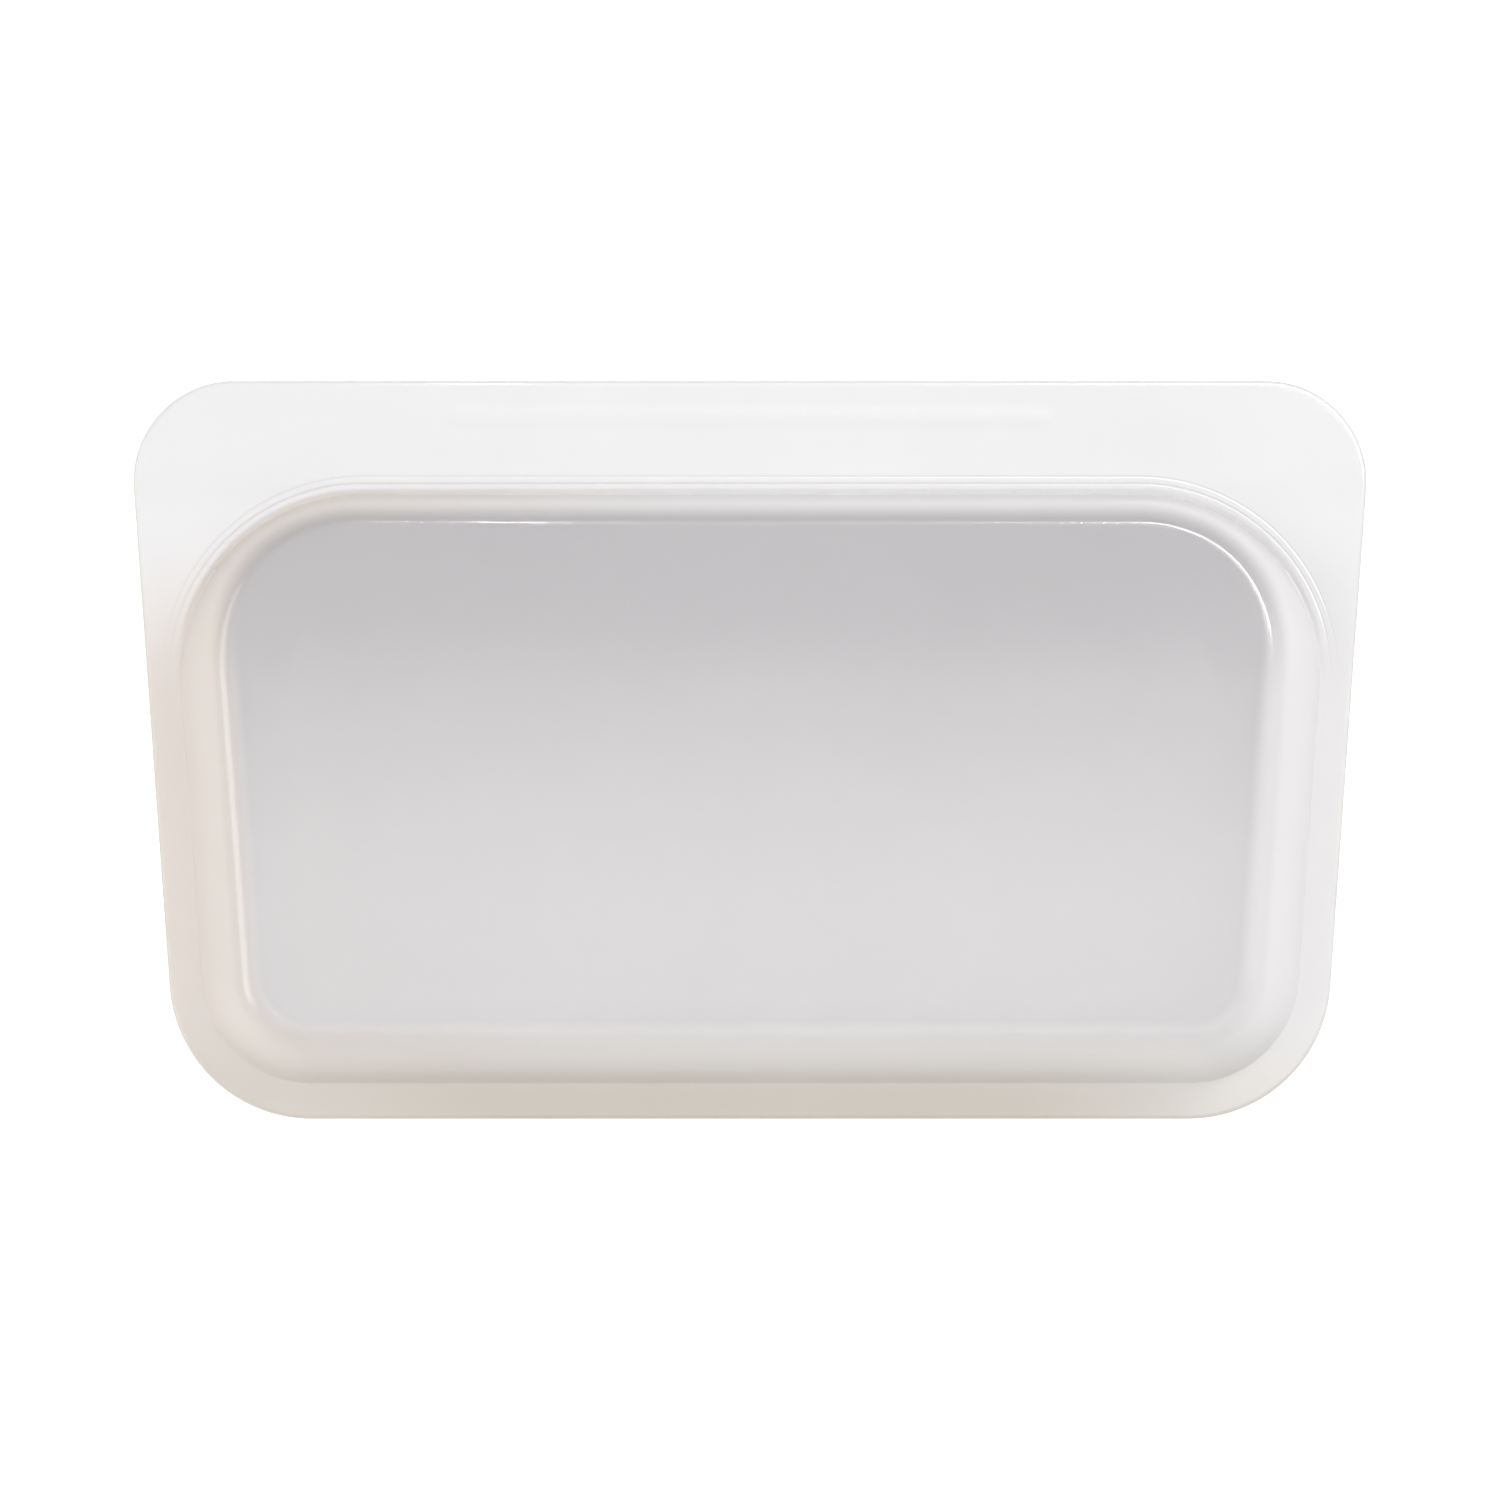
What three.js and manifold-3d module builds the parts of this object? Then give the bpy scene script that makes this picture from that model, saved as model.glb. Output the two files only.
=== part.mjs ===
// A flat reusable silicone food bag, lying on its back wall.
//
// Millimetres, +Z up. X is the bag's width, +Y points out of the mouth and Z is its thickness.
// The origin is the centre of the bounding box's underside.
//
// The bag is two dished half walls, bonded face to face round the sides and the bottom. Above the
// pocket both halves run on as flat lips. A pinch seal crosses them and curls round the pocket's top
// corners: a tongue on the front half pushes into a channel on the back half. Each lip ends in a soft
// rim with a raised grip bar. The front half is divided where it flexes, so that the mouth can open.

import * as THREE from "three";
import { mergeVertices } from "three/addons/utils/BufferGeometryUtils.js";
import Module from "manifold-3d";

// ---- Driving dimensions ----

// Outline, seen from the front.
const LENGTH = 114; // bottom edge to mouth edge
const MOUTH_WIDTH = 192.8; // between the side lines, at the mouth edge
const BOTTOM_WIDTH = 176.5; // between the side lines, at the bottom edge
const MOUTH_CORNER_R = 15.5;
const BOTTOM_CORNER_R = 22;

// Thickness.
const THICKNESS = 22; // over both pocket walls
const WALL = 1.25; // silicone wall, everywhere
const SEAM_THICKNESS = 0.5; // bond line, and the slit between the closed lips
const EDGE_ROUND = 0.5; // on the outer edge of each half

// Pocket.
const BAND_HEIGHT = 17.5; // mouth edge to the pocket's upper step
const SIDE_FLANGE = 5;
const BOTTOM_FLANGE = 5.5;
const POCKET_TOP_R = 28;
const POCKET_BOTTOM_R = 17;
const SLOPE_RUN = 9; // width of the pocket's sloping side, seen from the front

// Pinch seal.
const SEAL_FROM_STEP = 4.5; // pocket outline to the seal's centre line
const SEAL_END_ANGLE = 30; // degrees above the horizontal, round the pocket's top corner
const TONGUE_WIDTH = 1.6;
const TONGUE_GRIP = 1; // depth of the tongue between the channel's ribs
const TONGUE_SIDE_GAP = 0.6; // tongue to rib: the swing of the opening lip needs this
const RIB_WIDTH = 0.9;
const SEAL_BASE = 0.75; // channel floor
const RIB_TOP_GAP = 0.25; // top of a rib to the tongue's base
const TONGUE_FOOT_GAP = 0.5; // foot of the tongue to the channel's floor
const SEAT_GAP = 0.3; // round a seal strip, in its seat
const HOUSING_SIDE = 0.9; // silicone beside a seat
const HOUSING_COVER = 1; // silicone between a seat and the outside

// Lips.
const RIM_FROM_HOUSING = 0.5; // seal housing to the line where a rim flexes
const GRIP_BAR_LENGTH = 94;
const GRIP_BAR_WIDTH = 4;
const GRIP_BAR_HEIGHT = 0.75;
const GRIP_BAR_FROM_EDGE = 3.7; // mouth edge to the near side of a grip bar

// Flexing lines.
const MOUTH_FLEX_BELOW_SEAL = 11.75; // lower ends of the seal to the line where the front half flexes
const FLEX_GAP = 0.3; // slit between the two sides of a flexing line

// Facets.
const CORNER_STEPS = 12; // on each corner of an outline
const SLOPE_STEPS = 8; // down the pocket's side
const SEAL_ARC_STEPS = 12; // on each curled end of the seal
const ROUND_END_STEPS = 8; // on the half circle at the end of a strip
const DOME_STEPS = 3; // on the round edge of a grip bar

const OVERCUT = 5; // how far a cutting slab runs past what it cuts

// ---- Levels ----

// Levels lie on a fine grid of 1/64 mm, so that faces that touch are exactly coplanar as 32-bit numbers.
const onGrid = (value) => Math.round(value * 64) / 64;

const PARTING = onGrid(THICKNESS / 2); // plane between the two halves
const FLANGE_INNER = PARTING - onGrid(SEAM_THICKNESS / 2); // back half: the face towards the front
const FLANGE_OUTER = FLANGE_INNER - onGrid(WALL);

const RIB_TOP = 2 * PARTING - FLANGE_INNER; // level with the front half's inner face
const TONGUE_BASE = RIB_TOP + onGrid(RIB_TOP_GAP);
const TONGUE_FOOT = RIB_TOP - onGrid(TONGUE_GRIP);
const CHANNEL_FLOOR = TONGUE_FOOT - onGrid(TONGUE_FOOT_GAP);
const BACK_SEAT = CHANNEL_FLOOR - onGrid(SEAL_BASE);
const HOUSING_OUTER = BACK_SEAT - onGrid(HOUSING_COVER);
const FRONT_SEAT = 2 * PARTING - BACK_SEAT;

// ---- Plan shapes ----

const TOP = LENGTH / 2;
const BOTTOM = -LENGTH / 2;
const TAPER = Math.atan2((MOUTH_WIDTH - BOTTOM_WIDTH) / 2, LENGTH);

/** Distance of the outer side line from the origin, square to that line. */
const SIDE_DISTANCE = (MOUTH_WIDTH / 2) * Math.cos(TAPER) - TOP * Math.sin(TAPER);

const degrees = THREE.MathUtils.degToRad;

/** Points on an arc, both ends included. */
function arc(centre, radius, from, to, steps) {
  const points = [];
  for (let i = 0; i <= steps; i++) {
    const angle = from + ((to - from) * i) / steps;
    points.push(new THREE.Vector2(centre.x + radius * Math.cos(angle), centre.y + radius * Math.sin(angle)));
  }
  return points;
}

/** The centre of the right-hand corner of this radius, against a level line at y and a side line. */
function cornerCentre(side, y, radius, down) {
  const centreY = y + (down ? radius : -radius);
  const centreX = (side - radius + centreY * Math.sin(TAPER)) / Math.cos(TAPER);
  return new THREE.Vector2(centreX, centreY);
}

/** A tapered outline with round corners, anticlockwise from the right end of its bottom line. */
function outline({ top, bottom, side, topR, bottomR }, inset = 0) {
  const upper = cornerCentre(side - inset, top - inset, topR - inset, false);
  const lower = cornerCentre(side - inset, bottom + inset, bottomR - inset, true);
  const right = [
    ...arc(lower, bottomR - inset, -Math.PI / 2, -TAPER, CORNER_STEPS),
    ...arc(upper, topR - inset, -TAPER, Math.PI / 2, CORNER_STEPS),
  ];
  const left = right.map((point) => new THREE.Vector2(-point.x, point.y)).reverse();
  return [...right, ...left];
}

const BAG_OUTLINE = {
  top: TOP,
  bottom: BOTTOM,
  side: SIDE_DISTANCE,
  topR: MOUTH_CORNER_R,
  bottomR: BOTTOM_CORNER_R,
};

const POCKET_OUTLINE = {
  top: TOP - BAND_HEIGHT,
  bottom: BOTTOM + BOTTOM_FLANGE,
  side: SIDE_DISTANCE - SIDE_FLANGE,
  topR: POCKET_TOP_R,
  bottomR: POCKET_BOTTOM_R,
};

// The seal's line: straight over the pocket, with ends that share their centres with its top corners.
const SEAL_R = POCKET_TOP_R + SEAL_FROM_STEP;
const SEAL_CENTRE = cornerCentre(POCKET_OUTLINE.side, POCKET_OUTLINE.top, POCKET_TOP_R, false);

/** A strip of this half width along the seal's line, with round ends, anticlockwise. */
function sealStrip(halfWidth) {
  const end = degrees(SEAL_END_ANGLE);
  const endPoint = arc(SEAL_CENTRE, SEAL_R, end, end, 1)[0];
  const right = [
    ...arc(SEAL_CENTRE, SEAL_R - halfWidth, Math.PI / 2, end, SEAL_ARC_STEPS),
    ...arc(endPoint, halfWidth, end + Math.PI, end + 2 * Math.PI, ROUND_END_STEPS).slice(1, -1),
    ...arc(SEAL_CENTRE, SEAL_R + halfWidth, end, Math.PI / 2, SEAL_ARC_STEPS),
  ];
  const left = right.map((point) => new THREE.Vector2(-point.x, point.y)).reverse();
  return [...right, ...left];
}

/** A bar with round ends along X, centred at y, anticlockwise. */
function stadium(length, width, y) {
  const radius = width / 2;
  const reach = length / 2 - radius;
  const quarter = Math.PI / 2;
  return [
    ...arc(new THREE.Vector2(reach, y), radius, -quarter, quarter, ROUND_END_STEPS),
    ...arc(new THREE.Vector2(-reach, y), radius, quarter, 3 * quarter, ROUND_END_STEPS),
  ];
}

// ---- Solids ----

const wasm = await Module();
wasm.setup();

/** A closed body through rings of equal point counts, each capped by a fan at its two ends. */
function loft(rings) {
  const count = rings[0].points.length;
  const positions = [];
  const index = [];
  for (const { points, z } of rings) {
    for (const point of points) {
      positions.push(point.x, point.y, z);
    }
  }
  for (let ring = 0; ring < rings.length - 1; ring++) {
    for (let i = 0; i < count; i++) {
      const next = (i + 1) % count;
      const low = ring * count;
      const high = low + count;
      index.push(low + i, low + next, high + next);
      index.push(low + i, high + next, high + i);
    }
  }
  for (const end of [0, rings.length - 1]) {
    const { points, z } = rings[end];
    const middle = points.reduce((sum, point) => sum.add(point), new THREE.Vector2()).divideScalar(count);
    const centre = positions.length / 3;
    positions.push(middle.x, middle.y, z);
    for (let i = 0; i < count; i++) {
      const here = end * count + i;
      const next = end * count + ((i + 1) % count);
      index.push(centre, end === 0 ? next : here, end === 0 ? here : next);
    }
  }
  const geometry = new THREE.BufferGeometry();
  geometry.setAttribute("position", new THREE.Float32BufferAttribute(positions, 3));
  geometry.setIndex(index);
  return geometry;
}

/** A plan shape raised from one level to another, with an optional hole. */
function plate(points, low, high, hole = null) {
  const shape = new THREE.Shape(points);
  if (hole) {
    shape.holes.push(new THREE.Path(hole));
  }
  const geometry = new THREE.ExtrudeGeometry(shape, { depth: high - low, bevelEnabled: false });
  geometry.translate(0, 0, low);
  return geometry;
}

/** Everything between two values of y. */
function slab(from, to) {
  const geometry = new THREE.BoxGeometry(MOUTH_WIDTH + 2 * OVERCUT, to - from, THICKNESS + 2 * OVERCUT);
  geometry.translate(0, (from + to) / 2, PARTING);
  return geometry;
}

/** The same shape on the other half of the bag: turned over about the parting plane. */
function turnedOver(geometry) {
  const turned = geometry.index ? geometry.toNonIndexed() : geometry.clone();
  const position = turned.getAttribute("position");
  for (let i = 0; i < position.count; i++) {
    position.setZ(i, 2 * PARTING - position.getZ(i));
  }
  for (let i = 0; i < position.count; i += 3) {
    const second = new THREE.Vector3().fromBufferAttribute(position, i + 1);
    const third = new THREE.Vector3().fromBufferAttribute(position, i + 2);
    position.setXYZ(i + 1, third.x, third.y, third.z);
    position.setXYZ(i + 2, second.x, second.y, second.z);
  }
  return turned;
}

function solid(geometry) {
  const bare = geometry.clone();
  bare.deleteAttribute("normal");
  bare.deleteAttribute("uv");
  const welded = mergeVertices(bare);
  return new wasm.Manifold(
    new wasm.Mesh({
      numProp: 3,
      vertProperties: new Float32Array(welded.getAttribute("position").array),
      triVerts: new Uint32Array(welded.index.array),
    }),
  );
}

function geometryOf(body) {
  const mesh = body.getMesh();
  const geometry = new THREE.BufferGeometry();
  geometry.setAttribute("position", new THREE.BufferAttribute(new Float32Array(mesh.vertProperties), 3));
  geometry.setIndex(new THREE.BufferAttribute(new Uint32Array(mesh.triVerts), 1));
  geometry.computeVertexNormals();
  return geometry;
}

// ---- One half of the bag ----

/** Down the pocket's side: the outer face, and the inner face one wall thickness away from it. */
function slopeProfile() {
  const wall = onGrid(WALL);
  const outer = [];
  const inner = [];
  for (let i = 0; i <= SLOPE_STEPS; i++) {
    const t = i / SLOPE_STEPS;
    const inset = SLOPE_RUN * t;
    const z = FLANGE_OUTER * (1 - t * t * (3 - 2 * t));
    const steepness = (FLANGE_OUTER * 6 * t * (1 - t)) / SLOPE_RUN;
    const stretch = Math.hypot(steepness, 1);
    outer.push({ inset, z });
    inner.push({ inset: inset + (wall * steepness) / stretch, z: z + wall / stretch });
  }
  return { outer, inner };
}

/** The back half as one dished sheet, out to the bag's edge. The front half is this one turned over. */
function halfShell() {
  const { outer, inner } = slopeProfile();
  const pocketRing = ({ inset, z }) => ({ points: outline(POCKET_OUTLINE, inset), z });
  const edgeRing = (inset, z) => ({ points: outline(BAG_OUTLINE, inset), z });
  const shoulder = EDGE_ROUND * (1 - Math.SQRT1_2);
  return loft([
    ...outer.reverse().map(pocketRing),
    edgeRing(EDGE_ROUND, FLANGE_OUTER),
    edgeRing(shoulder, FLANGE_OUTER + shoulder),
    edgeRing(0, FLANGE_OUTER + EDGE_ROUND),
    edgeRing(0, FLANGE_INNER),
    ...inner.map(pocketRing),
  ]);
}

const CHANNEL_INNER_HALF = TONGUE_WIDTH / 2 + TONGUE_SIDE_GAP;
const SEAL_HALF = CHANNEL_INNER_HALF + RIB_WIDTH;
const SEAT_HALF = SEAL_HALF + SEAT_GAP;
const HOUSING_HALF = SEAT_HALF + HOUSING_SIDE;

const SEAL_END_Y = SEAL_CENTRE.y + SEAL_R * Math.sin(degrees(SEAL_END_ANGLE));
const MOUTH_FLEX_Y = SEAL_END_Y - MOUTH_FLEX_BELOW_SEAL;
const RIM_FLEX_Y = SEAL_CENTRE.y + SEAL_R + HOUSING_HALF + RIM_FROM_HOUSING;

/** A half's wall between two values of y, with the seal's raised housing and the seat in it. */
function wallPiece(isFront, from, to) {
  const place = (geometry) => solid(isFront ? turnedOver(geometry) : geometry);
  const housing = plate(sealStrip(HOUSING_HALF), HOUSING_OUTER, FLANGE_INNER);
  const seat = plate(sealStrip(SEAT_HALF), BACK_SEAT, FLANGE_INNER + OVERCUT);
  return place(halfShell())
    .add(place(housing))
    .subtract(place(seat))
    .intersect(solid(slab(from, to)));
}

/** Between the two flanges, down the sides and along the bottom. */
function seamBody() {
  const ring = plate(outline(BAG_OUTLINE), FLANGE_INNER, 2 * PARTING - FLANGE_INNER, outline(POCKET_OUTLINE));
  return solid(ring).intersect(solid(slab(BOTTOM - OVERCUT, MOUTH_FLEX_Y - FLEX_GAP / 2)));
}

/** The female strip: a floor with two ribs that join round its ends. */
function channelBody() {
  const strip = plate(sealStrip(SEAL_HALF), BACK_SEAT, RIB_TOP);
  const groove = plate(sealStrip(CHANNEL_INNER_HALF), CHANNEL_FLOOR, RIB_TOP + OVERCUT);
  return solid(strip).subtract(solid(groove));
}

/** The male strip: a base in the front half's seat, with the tongue under it. */
function tongueBody() {
  const base = plate(sealStrip(SEAL_HALF), TONGUE_BASE, FRONT_SEAT);
  const tongue = plate(sealStrip(TONGUE_WIDTH / 2), TONGUE_FOOT, FRONT_SEAT);
  return solid(base).add(solid(tongue));
}

/** A low bar with a round edge, raised on the outside of the back rim. */
function gripBar() {
  const y = TOP - GRIP_BAR_FROM_EDGE - GRIP_BAR_WIDTH / 2;
  const height = onGrid(GRIP_BAR_HEIGHT);
  const rings = [];
  for (let i = 0; i <= DOME_STEPS; i++) {
    const angle = (Math.PI / 2) * (1 - i / DOME_STEPS);
    const inset = height * (1 - Math.cos(angle));
    rings.push({
      points: stadium(GRIP_BAR_LENGTH - 2 * inset, GRIP_BAR_WIDTH - 2 * inset, y),
      z: FLANGE_OUTER - height * Math.sin(angle),
    });
  }
  return loft(rings);
}

// ---- Assembly ----

const silicone = (color, opacity) =>
  new THREE.MeshStandardMaterial({ color, roughness: 0.35, metalness: 0, transparent: true, opacity });

const CLEAR = { color: 0xd8d5d5, opacity: 0.55 };
const MILKY = { color: 0xf1eeec, opacity: 0.85 };

const bag = new THREE.Group();

function addPiece(name, geometry, finish) {
  const mesh = new THREE.Mesh(geometry, silicone(finish.color, finish.opacity));
  mesh.name = name;
  bag.add(mesh);
}

const belowRim = RIM_FLEX_Y - FLEX_GAP / 2;
const aboveRim = RIM_FLEX_Y + FLEX_GAP / 2;
const belowMouthFlex = MOUTH_FLEX_Y - FLEX_GAP / 2;
const aboveMouthFlex = MOUTH_FLEX_Y + FLEX_GAP / 2;
const pastTop = TOP + OVERCUT;
const pastBottom = BOTTOM - OVERCUT;

addPiece("back_wall", geometryOf(wallPiece(false, pastBottom, belowRim)), CLEAR);
addPiece("front_wall", geometryOf(wallPiece(true, pastBottom, belowMouthFlex)), CLEAR);
addPiece("front_mouth_wall", geometryOf(wallPiece(true, aboveMouthFlex, belowRim)), CLEAR);
addPiece("side_and_bottom_seam", geometryOf(seamBody()), MILKY);
addPiece("seal_channel", geometryOf(channelBody()), MILKY);
addPiece("seal_tongue", geometryOf(tongueBody()), MILKY);

for (const isFront of [false, true]) {
  const side = isFront ? "front" : "back";
  const bar = gripBar();
  addPiece(`${side}_rim`, geometryOf(wallPiece(isFront, aboveRim, pastTop)), MILKY);
  addPiece(`${side}_grip_bar`, isFront ? turnedOver(bar) : bar, MILKY);
}

export default bag;
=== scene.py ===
"""A reusable silicone food bag: two moulded half shells, their bond line, a pinch seal and soft lips."""

import math

import bmesh
import bpy
import numpy as np
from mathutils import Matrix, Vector


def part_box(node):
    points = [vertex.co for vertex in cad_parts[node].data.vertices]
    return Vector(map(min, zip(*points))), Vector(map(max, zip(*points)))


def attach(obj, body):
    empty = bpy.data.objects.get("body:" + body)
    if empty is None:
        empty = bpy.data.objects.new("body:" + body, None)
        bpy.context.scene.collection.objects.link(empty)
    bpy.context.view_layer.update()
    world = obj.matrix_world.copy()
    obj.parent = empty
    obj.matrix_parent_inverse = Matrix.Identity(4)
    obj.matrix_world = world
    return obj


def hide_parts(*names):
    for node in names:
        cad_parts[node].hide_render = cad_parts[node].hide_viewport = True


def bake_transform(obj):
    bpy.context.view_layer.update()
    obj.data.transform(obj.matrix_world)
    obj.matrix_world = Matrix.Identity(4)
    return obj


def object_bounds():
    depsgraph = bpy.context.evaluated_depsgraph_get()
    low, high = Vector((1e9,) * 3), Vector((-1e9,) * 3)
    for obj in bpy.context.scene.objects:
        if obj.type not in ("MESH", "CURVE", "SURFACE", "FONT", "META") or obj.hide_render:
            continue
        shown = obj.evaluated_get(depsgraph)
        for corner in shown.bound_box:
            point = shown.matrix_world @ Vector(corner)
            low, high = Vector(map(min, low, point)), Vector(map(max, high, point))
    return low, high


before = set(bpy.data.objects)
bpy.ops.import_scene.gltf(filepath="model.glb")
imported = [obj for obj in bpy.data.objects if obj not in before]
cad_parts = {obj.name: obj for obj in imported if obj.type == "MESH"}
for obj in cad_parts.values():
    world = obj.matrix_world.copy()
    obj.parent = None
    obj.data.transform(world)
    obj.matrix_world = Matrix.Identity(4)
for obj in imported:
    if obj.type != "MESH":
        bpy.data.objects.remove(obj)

bl_info = {
    "name": "Silicone Food Bag",
    "version": (1, 0, 0),
    "blender": (4, 5, 0),
    "location": "3D View > Sidebar > Silicone Bag",
    "description": "Builds a flat silicone food bag with a dished pocket, a pinch seal and soft lips",
    "category": "Object",
}

MM = 0.001
CAD_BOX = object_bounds()

# Levels and lines that the frame settles.
BAG_LOW, BAG_HIGH = CAD_BOX
BACK_RIM_LOW, BACK_RIM_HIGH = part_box("back_rim")
FRONT_RIM_LOW, FRONT_RIM_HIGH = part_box("front_rim")
CHANNEL_LOW, CHANNEL_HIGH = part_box("seal_channel")
TONGUE_LOW, TONGUE_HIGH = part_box("seal_tongue")
GRIP_LOW, GRIP_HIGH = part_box("front_grip_bar")
SEAM_LOW, SEAM_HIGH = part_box("side_and_bottom_seam")
MOUTH_LOW, MOUTH_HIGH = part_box("front_mouth_wall")
WALL = BACK_RIM_HIGH.z - BACK_RIM_LOW.z


# ---- Settings ----


def length_setting(name, description, default):
    return bpy.props.FloatProperty(name=name, description=description, default=default, unit="LENGTH")


def share_setting(name, description, default):
    return bpy.props.FloatProperty(name=name, description=description, default=default, min=0, max=1)


def colour_setting(name, description, default):
    return bpy.props.FloatVectorProperty(
        name=name, description=description, default=default, subtype="COLOR", size=3, min=0, max=1)


class BagSizes(bpy.types.PropertyGroup):
    """Sizes of the moulding, in metres."""

    mouth_width: length_setting("Mouth Width", "Between the side lines at the mouth edge", 0.1928)
    bottom_width: length_setting("Bottom Width", "Between the side lines at the bottom edge", 0.1765)
    mouth_corner: length_setting("Mouth Corner", "Radius of the two corners beside the mouth", 0.0155)
    bottom_corner: length_setting("Bottom Corner", "Radius of the two bottom corners", 0.022)
    band_height: length_setting("Band Height", "Mouth edge to the pocket's upper step", 0.0175)
    side_flange: length_setting("Side Flange", "Flat border beside the pocket", 0.005)
    bottom_flange: length_setting("Bottom Flange", "Flat border below the pocket", 0.0055)
    pocket_top_corner: length_setting("Pocket Top Corner", "Radius of the pocket's upper corners", 0.028)
    pocket_bottom_corner: length_setting(
        "Pocket Bottom Corner", "Radius of the pocket's lower corners", 0.017)
    side_slope: length_setting("Side Slope", "Width of the pocket's sloping sides and bottom", 0.0095)
    top_slope: length_setting("Top Slope", "Width of the steeper step below the mouth", 0.005)
    crest_softness: share_setting(
        "Crest Softness", "0 is an even S-shaped slope, 1 a crisp step with a domed crest", 0.85)
    edge_round: length_setting("Edge Round", "Round on the outer edge of each half", 0.0006)
    seal_from_step: length_setting("Seal From Step", "Pocket outline to the seal's centre line", 0.0045)
    seal_end_angle: bpy.props.FloatProperty(
        name="Seal End Angle", description="Where the seal ends, above the horizontal",
        default=math.radians(30), subtype="ANGLE")
    lip_rise: length_setting("Lip Rise", "How far the thick lip band stands above the side flange", 0.0007)
    lip_shoulder: length_setting("Lip Shoulder", "Width of the soft start of the lip band", 0.0009)
    seat_half: length_setting(
        "Seat Half Width", "Half the width of the groove that holds a seal strip", 0.0027)
    grip_height: length_setting("Grip Height", "How far the grip bar stands above the lip", 0.00022)
    grip_shoulder: length_setting("Grip Shoulder", "Width of the soft edge of a grip bar", 0.0018)
    sag: length_setting("Sag", "How far the flat of a wall sinks in soft waves", 0.0006)
    split_above_step: length_setting(
        "Split Above Step", "Pocket outline to the line where the front skin is divided", 0.001)


class BagColours(bpy.types.PropertyGroup):
    """Colours and clearness of the silicone, some with painted shade in them."""

    border: colour_setting("Border", "Thick, milky silicone of the lips", (0.925, 0.92, 0.93))
    flange: colour_setting(
        "Flange", "Flat border down the sides and along the bottom", (0.95, 0.935, 0.935))
    warm_flange: colour_setting("Warm Flange", "The same border where it looks warmer", (0.87, 0.80, 0.745))
    # Painted shade: with this colour the bottom flange darkens towards its middle.
    shaded_low_flange: colour_setting(
        "Low Flange", "Bottom flange, the greyest part of the border", (0.68, 0.63, 0.555))
    # The pocket's colour is partly its thin, clearer wall and partly painted shade inside the pocket,
    # darkest under the lip. Further down it turns to Low Pocket, out of that shade.
    pocket: colour_setting("Pocket", "Thin wall of the pocket", (0.66, 0.64, 0.66))
    low_pocket: colour_setting("Low Pocket", "Thin wall further from the mouth", (0.87, 0.85, 0.865))
    edge: colour_setting("Edge", "Trimmed outer edge of the border", (0.78, 0.74, 0.60))
    step_line: colour_setting(
        "Step Line", "Fine moulded lines above the pocket's step", (0.62, 0.60, 0.58))
    seal: colour_setting("Seal", "Tongue, channel and bond line", (0.9, 0.885, 0.87))
    border_alpha: share_setting("Border Opacity", "Opacity of one face of a lip", 0.82)
    flange_alpha: share_setting("Flange Opacity", "Opacity of one face of the flange", 0.8)
    pocket_alpha: share_setting("Pocket Opacity", "Opacity of one face of the pocket wall", 0.44)
    floor: colour_setting("Floor", "Pale studio floor", (0.9, 0.9, 0.9))


# ---- Plan shapes ----

CORNER_STEPS = 56
TOP_STEPS = 150
SIDE_STEPS = 44
BOTTOM_STEPS = 110


def sizes():
    return bpy.context.scene.bag_sizes


def colours():
    return bpy.context.scene.bag_colours


def taper():
    s = sizes()
    return math.atan2((s.mouth_width - s.bottom_width) / 2, BAG_HIGH.y - BAG_LOW.y)


def side_distance():
    """Distance of the outer side line from the origin, square to that line."""
    angle = taper()
    return sizes().mouth_width / 2 * math.cos(angle) - BAG_HIGH.y * math.sin(angle)


def corner_centre(side, y, radius, down):
    centre_y = y + (radius if down else -radius)
    centre_x = (side - radius + centre_y * math.sin(taper())) / math.cos(taper())
    return np.array([centre_x, centre_y])


def arc(centre, radius, start, end, steps):
    angles = np.linspace(start, end, steps + 1)
    return np.column_stack([centre[0] + radius * np.cos(angles), centre[1] + radius * np.sin(angles)])


def line(start, end, steps):
    """Points after start and before end."""
    share = np.linspace(0, 1, steps + 1)[1:-1, None]
    return start + (end - start) * share


def bag_outline():
    s = sizes()
    return {"top": BAG_HIGH.y, "bottom": BAG_LOW.y, "side": side_distance(),
            "top_r": s.mouth_corner, "bottom_r": s.bottom_corner}


def pocket_outline():
    s = sizes()
    return {"top": BAG_HIGH.y - s.band_height, "bottom": BAG_LOW.y + s.bottom_flange,
            "side": side_distance() - s.side_flange,
            "top_r": s.pocket_top_corner, "bottom_r": s.pocket_bottom_corner}


def outline_points(shape, inset=0.0):
    """A tapered outline with round corners, anticlockwise from the middle of its top line."""
    lower = corner_centre(shape["side"] - inset, shape["bottom"] + inset, shape["bottom_r"] - inset, True)
    upper = corner_centre(shape["side"] - inset, shape["top"] - inset, shape["top_r"] - inset, False)
    flip = np.array([-1, 1])
    top = arc(upper, shape["top_r"] - inset, -taper(), math.pi / 2, CORNER_STEPS)
    bottom = arc(lower, shape["bottom_r"] - inset, -math.pi / 2, -taper(), CORNER_STEPS)
    left_top = (top * flip)[::-1]
    left_bottom = (bottom * flip)[::-1]
    return np.vstack([
        bottom, line(bottom[-1], top[0], SIDE_STEPS),
        top, line(top[-1], left_top[0], TOP_STEPS),
        left_top, line(left_top[-1], left_bottom[0], SIDE_STEPS),
        left_bottom, line(left_bottom[-1], bottom[0], BOTTOM_STEPS),
    ])


def seal_centre():
    pocket = pocket_outline()
    return corner_centre(pocket["side"], pocket["top"], pocket["top_r"], False)


def seal_radius():
    s = sizes()
    return s.pocket_top_corner + s.seal_from_step


def seal_line(steps):
    """The seal's line: straight over the pocket, with ends that share centres with its top corners."""
    right = arc(seal_centre(), seal_radius(), sizes().seal_end_angle, math.pi / 2, steps)
    left = (right * np.array([-1, 1]))[::-1]
    return np.vstack([right, line(right[-1], left[0], steps), left])


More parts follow.
